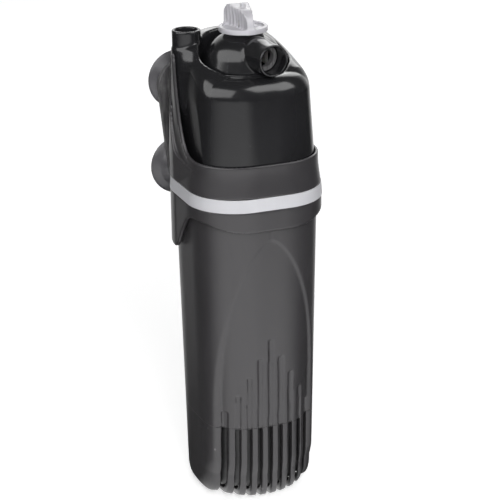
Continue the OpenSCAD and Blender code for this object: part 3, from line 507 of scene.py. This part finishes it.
def carve(name, field, box, cell, body, slot, replaced, seam=None):
    # seam is the height that partAt cuts at, and whether the upper part is kept
    points, faces = netSurface(field, *box, cell)
    points = settle(field, points, cell / 3) / 1000 + np.array((0, filterAxis["y"], filterAxis["foot"]))
    mesh = bpy.data.meshes.new(name)
    mesh.from_pydata(points.tolist(), [], faces.tolist())
    if seam:
        partAt(mesh, *seam)
    mesh.polygons.foreach_set("use_smooth", [True] * len(mesh.polygons))
    mesh.update()
    piece = bpy.data.objects.new(name, mesh)
    bpy.context.scene.collection.objects.link(piece)
    dress(piece, finishes[slot])
    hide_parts(*replaced)
    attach(piece, body)
    print("carved", name, "with", len(faces), "faces")


# the plan that head, collar and canister share: short flats that ease into full corners
bodyPlan = {"flatX": 3.2, "flatY": 4.4, "corner": 3.5, "power": 2.46}


def wallField(x, y, radius):
    across = np.abs(x) - bodyPlan["flatX"]
    along = np.abs(y) - bodyPlan["flatY"]
    power = bodyPlan["power"]
    outside = (np.maximum(across, 0) ** power + np.maximum(along, 0) ** power) ** (1 / power)
    return outside + np.minimum(np.maximum(across, along), 0) - radius - bodyPlan["corner"]


# ---- motor head; heights here and below are above the filter's foot, and x and y run from its axis
head = {
    "box": ((-25, -26, 119), (25, 26, 178)), "cell": 0.55,
    "radius": 15.95, "taper": 1.4, "lip": 133.5, "shoulder": 156, "base": 121, "wall": 1.8,
    # the arch over the shoulders, and the ramp that climbs from the front to the back
    "archHalf": 1.25, "archRadius": 20, "archPower": 2.25, "archSoft": 2.5, "archEase": 4,
    "front": 163.1, "back": 176, "rampStart": -14, "rampEnd": 15,
    # the top's rounding, a little fuller to the right and behind
    "edge": 6.2, "sideEdge": 7.0, "leastEdge": 0.3, "sideAlong": (-14, -2), "sideAcross": (-2, 8),
    # the well that the dome turns in, the ring on its floor and the hole for the riser
    "well": 16.0, "wellFoot": 16.5, "wellEase": 2, "wellFloor": 157, "wellRim": 1.2,
    "ring": 11.8, "ringBore": 9.4, "ringTop": 161, "ringRoot": 1, "ringEdge": 0.3,
    "spout": 6.35, "spoutFoot": 150,
    # the cord socket: a boss on the shell and the tube on it, cut back for the dome's flange
    "socketX": -17.2, "socketY": 12, "socketFoot": 150,
    "boss": 5.3, "bossTop": 169.2, "bossEdge": 0.4, "saddle": 6.5,
    "tube": 5.2, "tubeTop": 175.7, "tubeLip": 0.35, "tubeRoot": 0.9,
    "tubeBore": 4.1, "boreFloor": 152, "boreEdge": 0.3, "flange": 16.1, "flangeTop": 163.4,
}


def headBlock(x, y, z, inset):
    narrowing = head["taper"] * np.maximum((z - head["lip"]) / (head["shoulder"] - head["lip"]), 0)
    wall = wallField(x, y, head["radius"] - inset - narrowing)
    spread = np.maximum(np.abs(x) - head["archHalf"], 0)
    rise = np.maximum(z - head["shoulder"], 0)
    arch = (spread ** head["archPower"] + rise ** head["archPower"]) ** (1 / head["archPower"])
    arch = arch - head["archRadius"] + inset
    blend = easeIn(z, head["shoulder"] - head["archEase"], head["front"] + head["archEase"])
    block = roundBoth(wall, arch, head["archSoft"] * blend)
    climb = (head["back"] - head["front"]) / (head["rampEnd"] - head["rampStart"])
    ramp = np.clip(y - head["rampStart"], 0, head["rampEnd"] - head["rampStart"])
    top = (z - head["front"] + inset - climb * ramp) / math.hypot(1, climb)
    fuller = (head["sideEdge"] - head["edge"]) * easeIn(y, *head["sideAlong"])
    edge = head["edge"] + fuller * easeIn(x, *head["sideAcross"])
    return roundBoth(block, top, np.maximum(edge - inset, head["leastEdge"]))


def headField(x, y, z):
    out = np.hypot(x, y)
    climbed = easeIn(z, head["front"] - head["wellEase"], head["front"])
    wellRadius = head["wellFoot"] - (head["wellFoot"] - head["well"]) * climbed
    well = np.maximum(out - wellRadius, head["wellFloor"] - z)
    fromTube = np.hypot(x - head["socketX"], y - head["socketY"])
    boss = roundBoth(fromTube - head["boss"], z - head["bossTop"], head["bossEdge"])
    boss = roundBoth(boss, head["socketFoot"] - z, 0.0)
    shell = roundEither(headBlock(x, y, z, 0), boss, head["saddle"])
    shell = less(shell, well, head["wellRim"])
    tube = roundBoth(fromTube - head["tube"], z - head["tubeTop"], head["tubeLip"])
    tube = np.maximum(tube, head["socketFoot"] - z)
    tube = np.maximum(tube, np.minimum(head["flange"] - out, head["flangeTop"] - z))
    shell = roundEither(shell, tube, head["tubeRoot"])
    bore = np.maximum(fromTube - head["tubeBore"], head["boreFloor"] - z)
    shell = less(shell, bore, head["boreEdge"])
    ring = roundBoth(np.maximum(out - head["ring"], head["ringBore"] - out),
                     np.maximum(z - head["ringTop"], head["wellFloor"] - head["ringRoot"] - z),
                     head["ringEdge"])
    shell = np.minimum(shell, ring)
    wellWall = np.maximum(out - head["well"] - head["wall"], head["wellFloor"] - head["wall"] - z)
    hollow = less(headBlock(x, y, z, head["wall"]), wellWall)
    hollow = less(hollow, fromTube - head["boss"])
    shell = less(shell, hollow)
    shell = less(shell, np.maximum(out - head["spout"], head["spoutFoot"] - z))
    return np.maximum(shell, head["base"] - z)


carve("headShell", headField, head["box"], head["cell"], "head", "head_plastic", ["motor_housing"])


# ---- collar round the head's foot; its lines are drawn in the side view, from front to back
collar = {
    "box": ((-28, -28, 95), (28, 31, 170)), "cell": 0.5,
    "radius": 18.5, "flare": 1.2, "flareFrom": 118, "flareTo": 131.5, "edge": 0.45,
    "lipSoft": 0.9, "lipAlong": (-12, -4), "top": 167.8,
    # the thicker outer wall, which sinks into the inner one towards the front
    "wing": 18.65, "wingDraft": 0.035, "wingFade": 1.6, "wingAlong": (-15, -1),
    "sideFront": 24.1, "sideBack": 25.5, "sideReach": 9,
    # inside: the head stands in the bore, the canister in the skirt
    "bore": 16.25, "skirtBore": 17.2, "step": 119, "stepHigh": 0.6, "boreEdge": 0.2,
    # the groove for the pale ring
    "ringLow": 117.12, "ringHigh": 121.98, "ringBore": 17.75,
    # the room round the cord socket
    "socket": 5.85, "socketFoot": 148,
    # the rail behind, which hangs on the bracket
    "stem": 4.4, "stemFront": 24, "rail": 6.8, "railFront": 27.8, "railBack": 28.4,
    "railLow": 114, "railHigh": 152,
}
lipLine = smoothLine([
    (-38, 133.5), (-30, 133.5), (-22, 133.5), (-15, 133.5), (-9, 133.6), (-4.8, 134.6), (-2, 136.2),
    (0.1, 138.7), (2, 142.3), (3.7, 146.5), (6.2, 155), (7.8, 162), (9.2, 169), (10.4, 176)])
wingLine = smoothLine([
    (-38, 130), (-27, 130), (-16, 130), (-4.6, 130.6), (2.7, 131.8), (6.8, 134.4), (9.6, 139.3),
    (12.3, 146.1), (13.2, 152.5), (13.2, 160.5), (12.6, 167.8), (12.4, 174)])
legLine = smoothLine([
    (-38, 109.2), (-34, 109.2), (-30, 109.2), (-26, 109.3), (-22.3, 110.8), (-19, 111.8),
    (-15.5, 112.4), (-11, 112.5), (-8, 111.9), (-5.1, 110.2), (-2.3, 107.1), (0.5, 103.9),
    (2.4, 101), (4.2, 98.4), (6.9, 96.5), (12, 96.5), (20, 96.5), (28, 96.5), (36, 96.5)])
# the last one is drawn in the front view, where the top edge falls away to the right
archLine = smoothLine([
    (1.2, 178), (1.3, 174), (1.6, 170), (4, 167.4), (9, 166), (14, 163.5), (18, 160.5), (21, 157),
    (23.4, 153), (25, 149.5), (28, 147.5), (33, 147)])


def collarField(x, y, z):
    narrowing = collar["flare"] * easeIn(z, collar["flareFrom"], collar["flareTo"])
    wall = wallField(x, y, collar["radius"] - narrowing)
    lipEdge = collar["edge"] + collar["lipSoft"] * easeIn(y, *collar["lipAlong"])
    shell = roundBoth(wall, besideLine(y, z, lipLine), lipEdge)
    wing = collar["wing"] - collar["wingDraft"] * np.maximum(z - collar["flareTo"], 0)
    wing = wallField(x, y, wing - collar["wingFade"] * (1 - easeIn(y, *collar["wingAlong"])))
    reach = collar["sideReach"]
    spread = (collar["sideBack"] - collar["sideFront"]) / (2 * reach)
    side = collar["sideFront"] + spread * (np.clip(y, -reach, reach) + reach)
    wing = roundBoth(np.maximum(wing, np.abs(x) - side), besideLine(y, z, wingLine), collar["edge"])
    shell = np.minimum(shell, wing)
    shell = roundBoth(shell, z - collar["top"], collar["edge"])
    shell = roundBoth(shell, besideLine(x, z, archLine), collar["edge"])
    shell = roundBoth(shell, -besideLine(y, z, legLine), collar["edge"])
    stepped = easeIn(z, collar["step"] - collar["stepHigh"], collar["step"])
    bore = collar["skirtBore"] - (collar["skirtBore"] - collar["bore"]) * stepped
    shell = less(shell, wallField(x, y, bore), collar["boreEdge"])
    ring = np.maximum(collar["ringBore"] - collar["radius"] - wallField(x, y, collar["radius"]),
                      np.maximum(collar["ringLow"] - z, z - collar["ringHigh"]))
    shell = less(shell, ring)
    fromTube = np.hypot(x - head["socketX"], y - head["socketY"])
    shell = less(shell, np.maximum(fromTube - collar["socket"], collar["socketFoot"] - z))
    level = np.maximum(collar["railLow"] - z, z - collar["railHigh"])
    behind = y - collar["railBack"]
    stem = np.maximum(np.abs(x) - collar["stem"], np.maximum(collar["stemFront"] - y, behind))
    rail = np.maximum(np.abs(x) - collar["rail"], np.maximum(collar["railFront"] - y, behind))
    return np.minimum(shell, np.maximum(np.minimum(stem, rail), level))


carve("collarShell", collarField, collar["box"], collar["cell"], "head", "body_plastic", ["collar"])


# ---- outlet dome with its nozzle
dome = {
    "box": ((-18, -23, 156), (18, 18, 178)), "cell": 0.4,
    "low": 14.85, "draft": 0.26, "coneFoot": 163, "top": 175.8, "round": 8.2,
    # the steps at its foot, and the fine groove above them
    "foot": 157.25, "flange": 15.9, "flangeTop": 161, "flangeEdge": 0.5,
    "collar": 15.0, "collarTop": 162.8, "collarEdge": 0.3, "stepRoot": 0.2,
    "groove": 163.4, "grooveHalf": 0.3, "grooveDeep": 0.55, "grooveEdge": 0.15,
    # the nozzle, by distances ahead of the axis
    "heading": 9, "nozzleZ": 169.4, "nozzleFrom": 8, "reach": 21.0, "root": 6.3, "mouth": 5.65,
    "cone": (10, 17.8), "lip": 0.45, "nozzleRoot": 0.7, "bore": 4.95, "boreFrom": 7, "boreEdge": 0.3,
    # inside
    "wall": 1.5, "inner": 10.6, "innerRound": 5.0, "footBore": 11.85, "spindle": 1.95,
}


def domeField(x, y, z):
    out = np.hypot(x, y)
    side = out - dome["low"] + dome["draft"] * (z - dome["coneFoot"])
    body = roundBoth(side, z - dome["top"], dome["round"])
    groove = roundBoth(np.abs(z - dome["groove"]) - dome["grooveHalf"],
                       dome["low"] - dome["grooveDeep"] - out, 0.0)
    body = less(body, groove, dome["grooveEdge"])
    for step in ("collar", "flange"):
        ledge = roundBoth(out - dome[step], z - dome[step + "Top"], dome[step + "Edge"])
        body = roundEither(body, ledge, dome["stepRoot"])
    turn = math.radians(dome["heading"])
    aside = x * math.cos(turn) + y * math.sin(turn)
    ahead = x * math.sin(turn) - y * math.cos(turn)
    fromAxis = np.hypot(aside, z - dome["nozzleZ"])
    radius = dome["root"] + (dome["mouth"] - dome["root"]) * easeIn(ahead, *dome["cone"])
    nozzle = roundBoth(fromAxis - radius, ahead - dome["reach"], dome["lip"])
    nozzle = roundBoth(nozzle, dome["nozzleFrom"] - ahead, 0.0)
    body = roundEither(body, nozzle, dome["nozzleRoot"])
    bore = roundBoth(fromAxis - dome["bore"], dome["boreFrom"] - ahead, 0.0)
    body = less(body, bore, dome["boreEdge"])
    hollow = roundBoth(out - dome["inner"], z - dome["top"] + dome["wall"], dome["innerRound"])
    hollow = np.minimum(hollow, np.maximum(out - dome["footBore"], z - dome["collarTop"]))
    body = less(body, hollow)
    body = less(body, out - dome["spindle"])
    return np.maximum(body, dome["foot"] - z)


carve("domeAndNozzle", domeField, dome["box"], dome["cell"], "outlet", "head_plastic", ["outlet_dome"])


# ---- flow knob: a dished disc, a ribbed grip fin and an air nipple
knob = {
    "box": ((-10, -10, 175), (10, 10, 187)), "cell": 0.28,
    "foot": 176.2, "turn": -2,
    "disc": 8.8, "thick": 1.9, "discEdge": 0.4,
    "dish": 7.3, "dishDeep": 0.7, "dishRound": 0.2, "dishRim": 0.15,
    # the pointer mark, a wedge that narrows outward: its middle and half its size, across and along
    "markAt": (5.2, -0.6), "mark": (1.8, 0.9), "markTaper": 0.45, "markDeep": 1.4, "markEdge": 0.1,
    # the fin widens from its front to its back and is waisted below its crest
    "front": -8.2, "back": 7.8, "frontHalf": 1.3, "backHalf": 4.5, "widening": 1.2,
    "waist": 0.5, "waistUp": (8, 4), "finFoot": 0.5, "finEdge": 0.5, "finRoot": 0.8,
    "ribDeep": 0.2, "ribPitch": 1.9, "ribFade": (0.08, 0.2),
    "nipple": 0.95, "nippleTop": 9.75, "nippleEdge": 0.3, "nippleRoot": 0.5, "bore": 0.5, "boreEdge": 0.1,
    "spindle": 1.95, "spindleTop": 1.8,
}
finCrest = smoothLine([
    (-8.9, -4), (-8.7, -1.5), (-8.5, 1.2), (-8.2, 3.8), (-7.2, 5.6), (-5.6, 7), (-3.8, 7.9), (-1.5, 8.3),
    (1, 8.2), (3.2, 8.6), (4.9, 8.9), (6.6, 8.3), (7.7, 6.6), (8, 4), (8, 1), (8, -2)])


def knobField(x, y, z):
    up = z - knob["foot"]
    turn = math.radians(knob["turn"])
    across = x * math.cos(turn) + y * math.sin(turn)
    along = y * math.cos(turn) - x * math.sin(turn)
    out = np.hypot(x, y)
    middle = knob["thick"] / 2
    disc = roundBoth(out - knob["disc"], np.abs(up - middle) - middle, knob["discEdge"])
    dish = roundBoth(out - knob["dish"], knob["thick"] - knob["dishDeep"] - up, knob["dishRound"])
    disc = less(disc, dish, knob["dishRim"])
    besideMark, alongMark = (np.abs(value - spot) - size
                             for value, spot, size in zip((across, along), knob["markAt"], knob["mark"]))
    wedge = alongMark + (across - knob["markAt"][0]) * knob["markTaper"]
    mark = np.maximum(np.maximum(besideMark, wedge), knob["thick"] - knob["markDeep"] - up)
    disc = less(disc, mark, knob["markEdge"])
    share = np.clip((along - knob["front"]) / (knob["back"] - knob["front"]), 0, 1)
    rib = knob["ribDeep"] * np.cos(2 * np.pi * along / knob["ribPitch"]) * easeIn(share, *knob["ribFade"])
    half = knob["frontHalf"] + (knob["backHalf"] - knob["frontHalf"]) * share ** knob["widening"] + rib
    half = half - knob["waist"] * np.sin(np.pi * share) * easeIn(up, *knob["waistUp"])
    fin = roundBoth(np.abs(across) - half, besideLine(along, up, finCrest), knob["finEdge"])
    body = roundEither(disc, np.maximum(fin, knob["finFoot"] - up), knob["finRoot"])
    nipple = roundBoth(out - knob["nipple"], up - knob["nippleTop"], knob["nippleEdge"])
    body = roundEither(body, nipple, knob["nippleRoot"])
    body = less(body, out - knob["bore"], knob["boreEdge"])
    spindle = np.maximum(out - knob["spindle"], up - knob["thick"] - knob["spindleTop"])
    return less(np.maximum(body, -up), spindle)


carve("flowKnob", knobField, knob["box"], knob["cell"], "knob", "clear_plastic", ["flow_knob"])


# ---- canister and its grille
can = {
    "shellBox": ((-25, -26, 30), (25, 26, 119.5)), "shellCell": 0.6,
    "grilleBox": ((-25, -26, -1), (25, 26, 33)), "grilleCell": 0.45,
    "rim": 118.3, "rimEdge": 0.3, "footRadius": 14.55, "taper": 2.3, "hollow": 3.2,
    # the foot: the walls round off below, and a flaring bowl trims the corners, most in front
    "fillet": 4.6, "reach": 28, "round": 11.5, "flare": 0.5, "centreY": 3.7, "soften": 5.0,
    "softenUp": (12, 40), "footLift": 0.03, "leastRound": 0.5,
    # the arched panel on the front, deepest at its foot and sides
    "archTop": 105, "archFoot": 40, "archHalf": 19.5, "archRise": 2.1, "archPower": 0.62,
    "panel": 2.5, "panelBlend": 30, "panelEase": 0.8, "panelBack": -3, "crown": 0.3, "crownPower": 2.2,
    "asideShare": 0.9, "slant": 1.2, "recessEdge": 0.25, "edge": 0.6,
    # the slots, and the grooves that carry them up past the seam, the middle one highest
    "seam": 31.5, "seamHalf": 0.01, "slots": 9, "pitch": 4.0, "slot": 1.7, "slotBack": 10,
    "slotHead": 30.9, "slotEdge": 0.35,
    "grooveTop": 66.3, "grooveStep": 7.1, "groove": 0.6, "grooveRound": 0.3, "grooveEdge": 0.2,
}


def canForm(x, y, z, inset):
    wall = wallField(x, y, can["footRadius"] + can["taper"] * z / can["rim"] - inset)
    soften = max(can["soften"] - inset, 0.0)
    # let down by what the softening takes off, so that the foot still stands on the ground
    under = inset - z - (1 - math.sqrt(0.5)) * soften + can["footLift"]
    body = roundBoth(wall, under, max(can["fillet"] - inset, can["leastRound"]))
    out = np.hypot(x, y - can["centreY"])
    flare = np.maximum(z - can["round"], 0) * can["flare"]
    bowl = out - can["reach"] + inset - flare
    foot = roundBoth(bowl, under, max(can["round"] - inset, can["leastRound"]))
    return roundBoth(body, foot, soften * (1 - easeIn(z, *can["softenUp"])))


def archHalfWidth(z):
    up = np.clip((z - can["archFoot"]) / (can["archTop"] - can["archFoot"]), 0, 1)
    return can["archHalf"] * (1 - up ** can["archRise"]) ** can["archPower"]


def canOutside(x, y, z):
    form = canForm(x, y, z, 0)
    depth = can["panel"] * (1 - can["panelEase"] * easeIn(z, can["panelBlend"], can["archTop"]))
    bulge = np.clip(np.abs(x) / can["archHalf"], 0, 1) ** can["crownPower"]
    depth = depth * (can["crown"] + (1 - can["crown"]) * bulge)
    aside = (np.abs(x) - archHalfWidth(z)) * can["asideShare"] - can["slant"] * np.minimum(form, 0)
    recess = roundBoth(np.maximum(aside, y - can["panelBack"]), -(form + depth), can["recessEdge"])
    return less(form, recess, can["edge"])


def nearestSlot(x):
    # the distance outside the nearest slot's side, and that slot's number, counted from the middle one
    last = (can["slots"] - 1) / 2
    number = np.round(np.clip(x / can["pitch"], -last, last))
    return np.abs(x - can["pitch"] * number) - can["slot"] / 2, number


def canField(x, y, z):
    form = canOutside(x, y, z)
    beside, number = nearestSlot(x)
    top = can["grooveTop"] - can["grooveStep"] * np.abs(number)
    groove = np.maximum(roundBoth(beside, z - top, can["grooveRound"]), -(form + can["groove"]))
    groove = np.maximum(groove, y - can["panelBack"])
    body = less(form, groove, can["grooveEdge"])
    slot = np.maximum(np.maximum(beside, z - can["slotHead"]), y - can["slotBack"])
    body = less(body, slot, can["slotEdge"])
    return less(body, canForm(x, y, z, can["hollow"]))


def shellField(x, y, z):
    return roundBoth(canField(x, y, z), z - can["rim"], can["rimEdge"])


carve("canisterBody", shellField, can["shellBox"], can["shellCell"], "canister", "body_plastic",
      ["canister_shell"], (can["seam"] + can["seamHalf"], True))
carve("intakeGrille", canField, can["grilleBox"], can["grilleCell"], "canister", "body_plastic",
      ["bottom_grille"], (can["seam"] - can["seamHalf"], False))


# ---- foam cartridge, seen through the slots
foamLook = {
    "cell": 0.0013,        # metres, as are the next two
    "clearance": 0.0002,   # how far its whole surface stays inside the solid
    "sink": 0.0006,        # how deep the cells go
    "grain": 900,          # the pattern's fineness
}


def makeFoam(look):
    foam = bpy.data.objects.new("foamCartridge", nodes["sponge_cartridge"].data.copy())
    bpy.context.scene.collection.objects.link(foam)
    body = bmesh.new()
    body.from_mesh(foam.data)
    bmesh.ops.remove_doubles(body, verts=body.verts, dist=1e-6)  # closes the imported mesh
    body.to_mesh(foam.data)
    body.free()
    mesher = foam.modifiers.new("cells", "REMESH")
    mesher.mode = "VOXEL"
    mesher.voxel_size = look["cell"]
    held = foam.evaluated_get(bpy.context.evaluated_depsgraph_get())
    mesh = bpy.data.meshes.new_from_object(held)
    foam.modifiers.clear()
    foam.data = mesh
    for vertex in mesh.vertices:
        depth = 0.5 + 0.5 * noise.noise(vertex.co * look["grain"])
        vertex.co -= vertex.normal * (depth * look["sink"] + look["clearance"])
    for face in mesh.polygons:
        face.use_smooth = True
    dress(foam, finishes["sponge"])
    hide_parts("sponge_cartridge")
    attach(foam, "canister")


makeFoam(foamLook)
print("foam cut")
